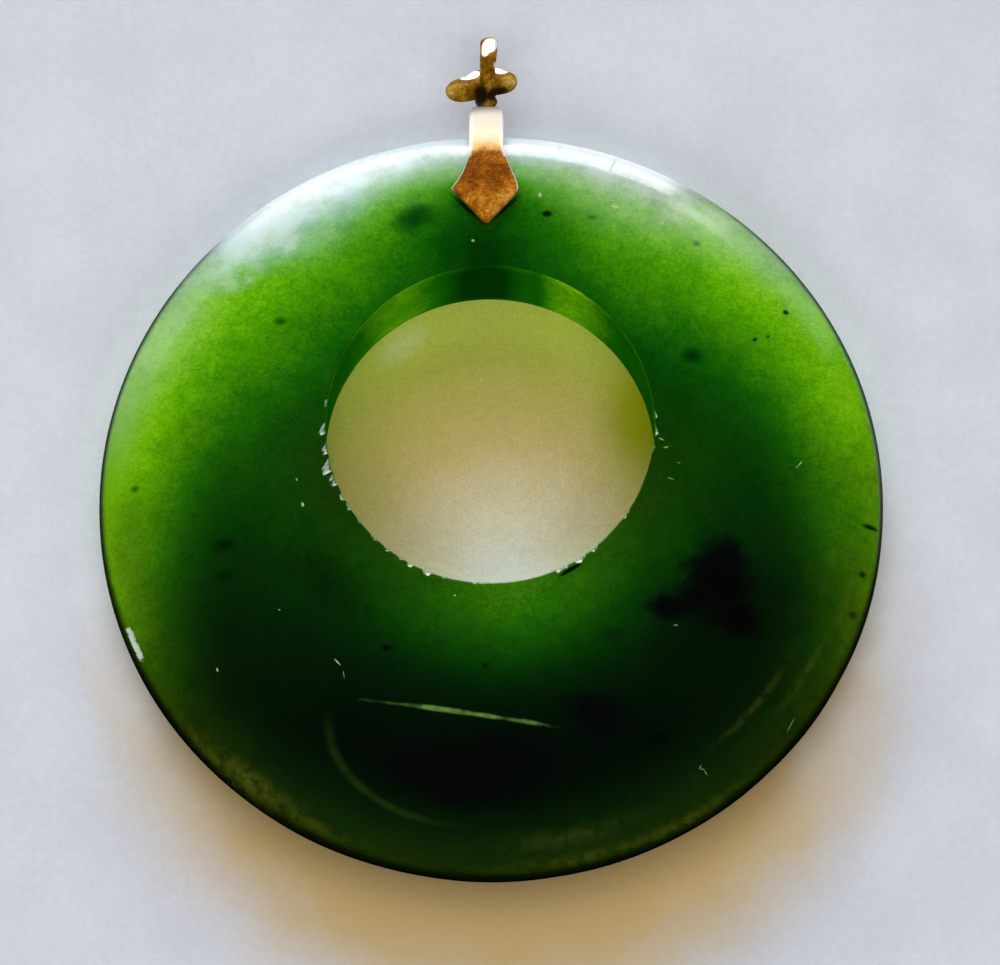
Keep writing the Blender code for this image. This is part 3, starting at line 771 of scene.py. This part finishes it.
def backTabLength():
    # how far in the tab can lie before the sheet would touch the ground
    rise = (stoneTop - stoneLow.z - stone["edgeHeight"]) / 2
    room = strip["fitGap"] + strip["sheet"] + 0.06 * mm
    power = stone["fullness"]
    height = 1 - room / rise
    return (stoneRadius - stone["landRadius"]) * (1 - (1 - height ** power) ** (1 / power))


def makeStrip():
    # The middle line runs from the front tip over the nose to the end of the back tab. Round
    # it goes a flat section with round edges, a superellipse whose top is slightly domed.
    corner = strip["neckLength"] + strip["flareLength"]
    leafLength = corner + strip["pointLength"]
    front = np.concatenate([np.linspace(leafLength, corner, 40),
                            np.linspace(corner, strip["neckLength"], 50)[1:],
                            np.linspace(strip["neckLength"], strip["liftOff"], 12)[1:]])
    fold = np.linspace(0, 1, 40)[1:]
    tab = backTabLength()
    back = np.linspace(strip["liftOff"], tab, 60)
    lines = [stripStone(front, 1), stripFold(fold, 1), stripFold(fold[-2::-1], -1), stripStone(back, -1)]
    fromEnd = np.clip((tab - back) / (strip["neckWidth"] / 2), 0, 1)
    roundEnd = strip["neckWidth"] / 2 * np.sqrt(np.clip(1 - (1 - fromEnd) ** 2, 0, 1))
    over = np.concatenate([fold, fold[-2::-1]])
    foldHalf = strip["neckWidth"] / 2 - 0.16 * mm * smoothStep(0.45, 1.0, over)
    left = np.concatenate([leafHalf(front, strip["leftFlare"], 9 * mm), foldHalf, roundEnd])
    right = np.concatenate([leafHalf(front, strip["rightFlare"], strip["rightReach"]), foldHalf, roundEnd])
    line = np.concatenate(lines)
    tangent = np.gradient(line, axis=0)
    tangent /= np.linalg.norm(tangent, axis=1)[:, None]
    outward = np.stack([-tangent[:, 1], tangent[:, 0]], axis=1)
    columns = 40
    around = np.arange(columns) * 2 * math.pi / columns
    across = (np.sign(np.cos(around)) * np.abs(np.cos(around)) ** (2 / 7))[None, :]
    lift = (np.sign(np.sin(around)) * np.abs(np.sin(around)) ** (2 / 3.2))[None, :]
    taper = np.clip((left + right) / (1.2 * strip["sheet"]), 0.3, 1.0)[:, None]
    rise = lift * strip["sheet"] / 2 * taper
    wide = np.clip((left + right)[:, None] / strip["leafWidth"], 0, 1)
    rise = rise + strip["dome"] * (1 - across ** 2) * wide - strip["dome"] / 2
    points = np.stack([
        strip["middleX"] + np.where(across > 0, right[:, None], left[:, None]) * across,
        line[:, 0][:, None] + outward[:, 0][:, None] * rise,
        line[:, 1][:, None] + outward[:, 1][:, None] * rise,
    ], axis=-1)
    rows = len(line)
    faces = [tuple(f) for f in gridFaces(rows, columns, closeRows=False)[:, ::-1]]
    faces.append(tuple(range(columns)))
    faces.append(tuple(range(rows * columns - 1, (rows - 1) * columns - 1, -1)))
    piece = meshPiece("bailStrip", points, faces, sheetMaterial())
    leaf = np.concatenate([front / mm, 0.6 - 2.2 * fold, -1.6 - 2.2 * fold[1:], -4.0 + 0 * back])
    storeValue(piece, "leafDepth", np.repeat(leaf[:, None], columns, axis=1))
    storeValue(piece, "across", np.repeat(across, rows, axis=0))
    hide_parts("bail_strip")
    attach(piece, "root")
    print("bail strip:", rows, "stations")


def goldNormal(kit, coarse, fine):
    # the same fine pitting on sheet and casting
    return kit.bump(kit.plus(coarse, kit.times(fine, 0.4)), 0.3, 0.02 * mm)


def sheetMaterial():
    # a pale painted highlight on the neck and fold, which are barely metallic, and brown mottled patina on
    # the leaf
    kit = NodeKit("wornGoldSheet")
    patches = kit.noise(1150, 5.0, 0.62)
    fine = kit.noise(5200, 3.0, 0.6)
    depth = kit.attribute("leafDepth")
    across = kit.attribute("across")
    # the patina is darkest below the neck and lighter towards the point
    along = kit.ramp(kit.times(depth, 1 / 7), [
        (0.22, (0.62, 0.62, 0.62)), (0.42, (0.26, 0.26, 0.26)),
        (0.6, (0.36, 0.36, 0.36)), (0.78, (0.74, 0.74, 0.74)), (1.0, (0.66, 0.66, 0.66))])
    amount = kit.plus(along, kit.centred(patches, 1.5), kit.times(across, 0.13))
    amount = kit.math("ADD", amount, kit.centred(fine, 1.1), clamp=True)
    brown = kit.ramp(amount, [
        (0.0, (0.105, 0.026, 0.0003)), (0.3, (0.175, 0.046, 0.0006)),
        (0.6, (0.32, 0.105, 0.003)), (0.85, (0.47, 0.19, 0.018)),
        (1.0, (0.58, 0.3, 0.08)),
    ])
    # the painted highlight, palest at the nose of the fold
    neck = kit.ramp(kit.times(kit.plus(depth, 1.6), 1 / 3.2), [
        (0.0, (0.95, 0.93, 0.86)), (0.26, (0.95, 0.9, 0.78)),
        (0.46, (0.92, 0.77, 0.6)), (0.76, (0.88, 0.62, 0.41)),
        (1.0, (0.72, 0.4, 0.14)),
    ])
    fromMiddle = kit.math("ABSOLUTE", across)
    # painted highlight along both sides of the neck
    neck = kit.mix(kit.remap(fromMiddle, 0.7, 0.98), neck, (0.95, 0.9, 0.8))
    # the patina starts a little lower down at the sides, with a ragged edge
    start = kit.plus(depth, kit.speckle(1100, 4.0, 0.6, 1.5), kit.times(fromMiddle, fromMiddle, -0.55))
    dullShare = kit.remap(start, 1.2, 2.05)
    # a painted glint line down both sides of the leaf, as far as its corners
    line = kit.times(kit.remap(fromMiddle, 0.93, 1.0), kit.remap(depth, 4.3, 5.0, 1.0, 0.0))
    dullShare = kit.times(dullShare, kit.rest(kit.times(line, 0.85)))
    return kit.finish({
        "Base Color": kit.mix(dullShare, neck, brown),
        "Metallic": kit.remap(dullShare, 0, 1, 0.1, 0.12),
        "Roughness": kit.remap(dullShare, 0, 1, 0.42, 0.62),
        "Specular IOR Level": 0.03,
        "Normal": goldNormal(kit, patches, fine),
    })


# Bail crown

crown = {
    "middleX": strip["middleX"],
    "footY": rimY + strip["foldReach"] + 0.3 * mm,
    "loopDiameter": 4.3 * mm,
    "loopWall": 0.75 * mm,
    "widthTop": 1.20 * mm,
    "widthFoot": 0.88 * mm,
    "lean": math.radians(3.0),
    "faceTilt": 29.0,             # degrees that the polished face on the loop leans north
    "faceSpan": 22.0,             # half of the arc that this face cuts off
    "petalTilt": math.radians(11.0),
    "petalRise": 0.80 * mm,
    "petalProud": 1.0 * mm,
    "petalThickness": 1.05 * mm,
    "voxel": 0.042 * mm,
    # lighter or darker places in the patina: x, y, width, height, turn, change
    "patches": [
        (-2.55, 27.65, 2.2, 1.6, 15, 0.38), (1.3, 28.35, 2.0, 1.5, 15, 0.42),
        (-1.2, 27.65, 1.2, 1.3, 0, -0.25), (-0.45, 27.02, 2.0, 0.6, 0, 0.55)],
    # painted shade in the hollow under the middle and below the right petal
    "shadeSpots": [(-0.68, 27.56, 1.35, 1.75, 0, 0.6), (0.25, 27.66, 2.6, 0.85, 17, 0.6)],
    # painted highlights: the top of the loop and the two upper faces beside it
    "highlightSpots": [
        (-0.1, 30.78, 1.55, 1.1, 62, 0.3), (-0.4, 30.28, 1.05, 0.6, 82, 0.4),
        (-1.42, 28.95, 1.6, 0.85, 12, 0.35), (0.62, 29.32, 1.2, 0.85, 8, 0.35)],
    "shadeColour": (0.006, 0.003, 0.001),
    "highlightColour": (0.95, 0.9, 0.8),
}


def loopSurface():
    # The chain loop: a ring in the YZ plane whose oval section is wider at the top. The
    # outside is a circle with one flat face, where the radius is chord / cos(angle from it).
    rows, columns = 128, 32
    turns = [np.linspace(0, 2 * math.pi, count + 1)[:-1] for count in (rows, columns)]
    a, b = np.meshgrid(*turns, indexing="ij")
    outer = crown["loopDiameter"] / 2
    fromFace = (np.degrees(a) - (90 - crown["faceTilt"]) + 180) % 360 - 180
    chord = outer * math.cos(math.radians(crown["faceSpan"]))
    flat = np.minimum(outer, chord / np.cos(np.radians(np.clip(fromFace, -60, 60))))
    middle = outer - crown["loopWall"] / 2
    radius = middle + crown["loopWall"] / 2 * np.cos(b) - (outer - flat) * (1 + np.cos(b)) / 2
    height = radius * np.cos(a)
    width = crown["widthFoot"] + (crown["widthTop"] - crown["widthFoot"]) * (1 + np.cos(a)) / 2
    width = width * (1 - 0.30 * smoothStep(0.86, 1.0, np.cos(a)))
    width = width * (1 - 0.32 * smoothStep(0.0, 0.5, -np.sin(a)))
    x = crown["middleX"] + width / 2 * np.sign(np.sin(b)) * np.abs(np.sin(b)) ** 0.8
    x = x + (height + outer) * math.tan(crown["lean"])
    y = crown["footY"] + outer + height
    z = midZ + radius * np.sin(a)
    return np.stack([x, y, z], axis=-1), gridFaces(rows, columns, closeRows=True)[:, ::-1]


def placed(x, y, z, turn, centre):
    # points turned about the Z axis and moved to their centre
    return np.stack([x * math.cos(turn) - y * math.sin(turn),
                     x * math.sin(turn) + y * math.cos(turn), z], axis=-1) + np.array(centre)


def ovalSurface(centre, size, turn):
    # an ellipsoid with poles left and right, turned about the Z axis
    rows, columns = 40, 48
    r = np.linspace(0, math.pi, rows)[:, None]
    a = (np.arange(columns) * 2 * math.pi / columns)[None, :]
    ball = np.stack([-np.cos(r) + 0 * a, np.sin(r) * np.cos(a), np.sin(r) * np.sin(a)], axis=-1)
    ball = ball * np.array(size) / 2
    points = placed(ball[..., 0], ball[..., 1], ball[..., 2], turn, centre)
    return points, gridFaces(rows, columns, closeRows=False)


def petalSurface(centre, size, turn):
    # A petal: one closed profile carried from end to end, shrinking as a superellipse. The
    # profile has a bevel that leans to the bail's far side, a crest and a long front slope.
    profile = np.array([(1.0, -0.15), (0.95, 0.12), (0.62, 0.45), (0.3, 0.78), (0.05, 0.98),
                        (-0.3, 0.94), (-0.68, 0.66), (-0.92, 0.3), (-1.0, -0.1), (-0.85, -0.55),
                        (-0.4, -0.95), (0.2, -1.0), (0.72, -0.7)])
    steps = np.linspace(0, len(profile), 53)[:-1]
    closed = np.vstack([profile, profile[:1]])
    index = np.arange(len(closed))
    across = np.interp(steps, index, closed[:, 0])[None, :]
    up = np.interp(steps, index, closed[:, 1])[None, :]
    u = -np.cos(np.linspace(0, math.pi, 44))[:, None]
    wide = np.sqrt(np.clip(1 - np.abs(u) ** 2.6, 0, 1))
    thick = wide * (0.55 + 0.45 * wide)
    x = u * size[0] / 2 + 0 * across
    y = wide * across * size[1] / 2
    z = thick * up * size[2] / 2
    return placed(x, y, z, turn, centre), gridFaces(len(u), len(steps), closeRows=False)


def makeCrown():
    barY = crown["footY"] + crown["petalRise"]
    barZ = midZ + crown["petalProud"]
    tilt = crown["petalTilt"]

    def along(offset, lift=0.0, back=0.0):
        return (crown["middleX"] + offset * mm * math.cos(tilt),
                barY + offset * mm * math.sin(tilt) + lift * mm, barZ - back * mm)

    surfaces = [
        loopSurface(),
        petalSurface(along(-1.15), (3.0 * mm, 1.68 * mm, crown["petalThickness"]), tilt),
        petalSurface(along(0.84), (2.38 * mm, 1.55 * mm, crown["petalThickness"]), tilt),
        petalSurface(along(0.02, 0.27, 0.22), (3.05 * mm, 1.95 * mm, 1.25 * mm), tilt),
        ovalSurface((crown["middleX"], crown["footY"] + 0.48 * mm, midZ + 0.42 * mm),
                    (1.25 * mm, 1.60 * mm, 1.7 * mm), 0.0),
        ovalSurface((crown["middleX"], crown["footY"] - 0.05 * mm, midZ + 0.25 * mm),
                    (1.45 * mm, 0.75 * mm, 1.5 * mm), 0.0),
    ]
    points, faces, start = [], [], 0
    for surface, quads in surfaces:
        flat = surface.reshape(-1, 3)
        points.append(flat)
        faces.append(quads + start)
        start += len(flat)
    piece = meshPiece("bailCrown", np.concatenate(points), np.concatenate(faces), castMaterial())
    remesh = piece.modifiers.new("oneCasting", "REMESH")
    remesh.mode = "VOXEL"
    remesh.voxel_size = crown["voxel"]
    remesh.use_smooth_shade = True
    soften = piece.modifiers.new("softCorners", "SMOOTH")
    soften.factor = 0.5
    soften.iterations = 7
    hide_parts("bail_crown")
    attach(piece, "root")
    print("bail crown:", len(surfaces), "forms in one casting")


def castMaterial():
    # olive brown patina, with painted shade in the hollows and painted highlights on the faces that lean
    # to the back, which are also smoother and more metallic
    kit = NodeKit("wornGoldCast")
    patches = kit.noise(1500, 5.0, 0.62)
    fine = kit.noise(5600, 3.0, 0.6)
    amount = kit.plus(0.34, kit.centred(patches, 1.7), kit.centred(fine, 0.8))
    for x, y, width, height, turn, change in crown["patches"]:
        amount = kit.plus(amount, kit.times(kit.spot(x, y, width, height, turn, 1.0), change))
    brown = kit.ramp(amount, [
        (0.0, (0.1, 0.036, 0.0005)), (0.4, (0.23, 0.1, 0.002)),
        (0.72, (0.42, 0.25, 0.025)), (1.0, (0.62, 0.47, 0.17)),
    ])
    # painted shade in the hollows
    colour = kit.mix(kit.times(kit.spots(crown["shadeSpots"]), 0.96), brown, crown["shadeColour"])
    # painted highlights, where the casting is also smoother and more metallic
    bright = kit.spots(crown["highlightSpots"])
    return kit.finish({
        "Base Color": kit.mix(bright, colour, crown["highlightColour"]),
        "Metallic": kit.remap(bright, 0, 1, 0.2, 0.7),
        "Roughness": kit.remap(bright, 0, 1, 0.55, 0.3),
        "Specular IOR Level": 0.06,
        "Normal": goldNormal(kit, patches, fine),
    })


# Floor, light and camera

studio = {
    "floorSize": 1.6,
    "paper": (0.64, 0.66, 0.71),
    "windowDistance": 0.5,
    "cameraElevation": 71.26,
    "cameraDistance": 2.5,
    "aimX": 0.53 * mm,
    "aimY": -1.585 * mm,
    "pixelsPerMetre": 15689.0,
    "imageWidth": 1000,
    # upright light panels: azimuth from +X, span, lowest and highest elevation in degrees,
    # radiance, seen in reflections
    "panels": [
        ("windowLeft", 108, 18, 1, 27, 4.2, True),
        ("windowLeftWide", 109, 26, 1, 31, 2.6, True),
        ("windowLeftTop", 106, 32, 1, 36, 1.3, True),
        ("windowRight", 83, 26, 1, 19, 7.0, True),
        ("windowRightTop", 80, 32, 19, 27, 1.8, True),
        ("windowRightHigh", 80, 34, 27, 35, 0.9, True),
        ("windowRightEnd", 66, 8, 1, 27, 1.6, True),
        ("sideRight", 52, 20, 1, 28, 0.5, True),
        ("sideLeft", 131, 18, 1, 32, 1.0, True),
        ("daylight", 90, 80, 12, 45, 1.3, False),
        ("roomBehind", 270, 70, 25, 50, 2.5, False),
    ],
    "ceilingPower": 6.4,
    # painted light on the paper in the hole, from its near side to its far side, and two patches on it
    "holeRamp": [
        (0.0, (1.0, 0.95, 0.91)), (0.16, (0.87, 0.77, 0.58)),
        (0.31, (0.76, 0.65, 0.41)), (0.47, (0.71, 0.57, 0.3)),
        (0.64, (0.62, 0.5, 0.18)), (0.91, (0.52, 0.45, 0.1)),
        (1.0, (0.4, 0.43, 0.06)),
    ],
    "holeDeep": (0.32, 0.33, 0.002),
    "holeCool": (0.46, 0.5, 0.22),
    # painted shadow and warm light on the paper, beside the rim and further off
    "warmBeside": (0.5, 0.33, 0.105),
    "warmFurther": (0.64, 0.43, 0.15),
}


def floorMaterial():
    kit = NodeKit("palePaper")
    fibre = kit.noise(1900, 5.0, 0.68)
    blotch = kit.noise(150, 4.0, 0.55)
    grain = kit.plus(kit.speckle(6500, 3.0, 0.7, 0.55), kit.centred(fibre, 0.35))
    plain = studio["paper"]
    shade = kit.remap(kit.plus(kit.times(fibre, 0.35), kit.times(blotch, 0.65)), 0.36, 0.64)
    paper = kit.mix(shade, tuple(part * 0.925 for part in plain), plain)
    # painted light: the stone passes olive light on to the paper in the hole, least at the far side
    holeX, holeY = (stone["holeX"] - stoneX) / mm, (stone["holeY"] - stoneY) / mm
    near = kit.plus(
        kit.spread(holeX + 1.3, holeY - 9.5, 34, 36),
        kit.speckle(500, 4.0, 0.6, 0.14),
        kit.times(kit.spot(-5.2, 12.2, 5.5, 4.0, 45, 1.0), -0.1),
        kit.times(kit.spot(9.6, 3.8, 4.5, 11.0, 10, 1.0), 0.1))
    olive = kit.ramp(kit.remap(near, 0.0, 1.0), studio["holeRamp"])
    # a deeper and a cooler patch in the painted light on the paper in the hole
    deep = kit.times(kit.spot(9.8, 7.4, 7.6, 11.0, 8, 0.8), 0.95)
    olive = kit.mix(deep, olive, studio["holeDeep"])
    cool = kit.times(kit.spot(-5.7, 12.2, 5.4, 2.8, 38, 1.0), 0.7)
    olive = kit.mix(cool, olive, studio["holeCool"])
    # and it is painted lighter close to the wall of the hole
    olive = kit.scaled(olive, kit.remap(kit.spread(holeX, holeY, 21.4, 21.6), 0.62, 1.02, 1.0, 1.4))
    inHole = kit.spot(holeX, holeY, 21.6, 21.8, 0, 0.03)
    # painted light: past the rim the stone lets light through, so the paper beside it stays light
    rimReach = kit.spread(0.0, 0.0, 2 * stoneRadius / mm, 2 * stoneRadius / mm)
    paper = kit.scaled(paper, kit.remap(rimReach, 1.0, 1.11, 1.27, 1.0))
    paper = kit.mix(inHole, paper, olive)
    # painted shadow and warm light on the paper beyond the rim that faces away from the window
    off = kit.plus(kit.spread(0.6, -9.0, 2.0, 2.0), kit.speckle(190, 4.0, 0.6, 4.5))
    warm = kit.times(kit.remap(off, 18.0, 28.0, 1.0, 0.0), kit.rest(inHole), 0.94)
    warmth = kit.mix(kit.remap(rimReach, 1.0, 1.13), studio["warmBeside"], studio["warmFurther"])
    paper = kit.mix(warm, paper, warmth)
    # painted light: the paper is a little lighter towards the near side, and its grain is plainest in the
    # hole
    even = kit.rest(kit.times(kit.axis(1), 1.2))
    plainness = kit.plus(kit.times(inHole, 0.72), 0.28)
    bright = kit.plus(even, kit.times(grain, plainness))
    return kit.finish({
        "Base Color": kit.scaled(paper, bright),
        "Roughness": 0.9,
        "Specular IOR Level": 0.1,
        "Normal": kit.bump(fibre, 0.3, 0.02 * mm),
    })


def makeFloor():
    half = studio["floorSize"] / 2
    corners = np.array([[-half, -half, 0], [half, -half, 0], [half, half, 0], [-half, half, 0]])
    floor = meshPiece("paperFloor", corners, np.array([[0, 1, 2, 3]]), floorMaterial())


def areaLight(name, place, aim, width, height, power, glossy):
    data = bpy.data.lights.new(name, "AREA")
    data.shape = "RECTANGLE"
    data.size = width
    data.size_y = height
    data.energy = power
    data.color = (0.98, 0.99, 1.0)
    light = bpy.data.objects.new(name, data)
    bpy.context.scene.collection.objects.link(light)
    light.location = place
    light.rotation_euler = (Vector(aim) - Vector(place)).to_track_quat("-Z", "Y").to_euler()
    light.visible_glossy = glossy
    light.visible_camera = False


def makeLight():
    # a panel's power is radiance times pi times its area
    distance = studio["windowDistance"]
    for name, azimuth, span, low, high, radiance, glossy in studio["panels"]:
        turn = math.radians(azimuth)
        bottom = distance * math.tan(math.radians(low))
        top = distance * math.tan(math.radians(high))
        width = 2 * distance * math.tan(math.radians(span / 2))
        place = (distance * math.cos(turn), distance * math.sin(turn), (bottom + top) / 2)
        aim = (0.0, 0.0, (bottom + top) / 2)
        power = radiance * math.pi * width * (top - bottom)
        areaLight(name, place, aim, width, top - bottom, power, glossy)
    areaLight("ceiling", (0, -0.2, 0.9), (0, 0, 0), 1.2, 1.2, studio["ceilingPower"], False)
    world = bpy.data.worlds.new("dimRoom")
    world.use_nodes = True
    world.node_tree.nodes["Background"].inputs["Color"].default_value = (0.9, 0.92, 1.0, 1.0)
    world.node_tree.nodes["Background"].inputs["Strength"].default_value = 0.012
    bpy.context.scene.world = world


def makeCamera():
    data = bpy.data.cameras.new("photoView")
    camera = bpy.data.objects.new("photoView", data)
    bpy.context.scene.collection.objects.link(camera)
    elevation = math.radians(studio["cameraElevation"])
    distance = studio["cameraDistance"]
    camera.location = (studio["aimX"],
                       studio["aimY"] - distance * math.cos(elevation),
                       midZ + distance * math.sin(elevation))
    camera.rotation_euler = (math.pi / 2 - elevation, 0, 0)
    data.sensor_width = 36.0
    data.lens = studio["pixelsPerMetre"] * distance / studio["imageWidth"] * data.sensor_width
    data.clip_start = 0.01
    data.clip_end = 10.0
    bpy.context.scene.camera = camera


makeFloor()
makeCamera()
makeLight()
makeStone()
makeStrip()
makeCrown()
bpy.context.scene.view_settings.view_transform = "Standard"
print("stage set")
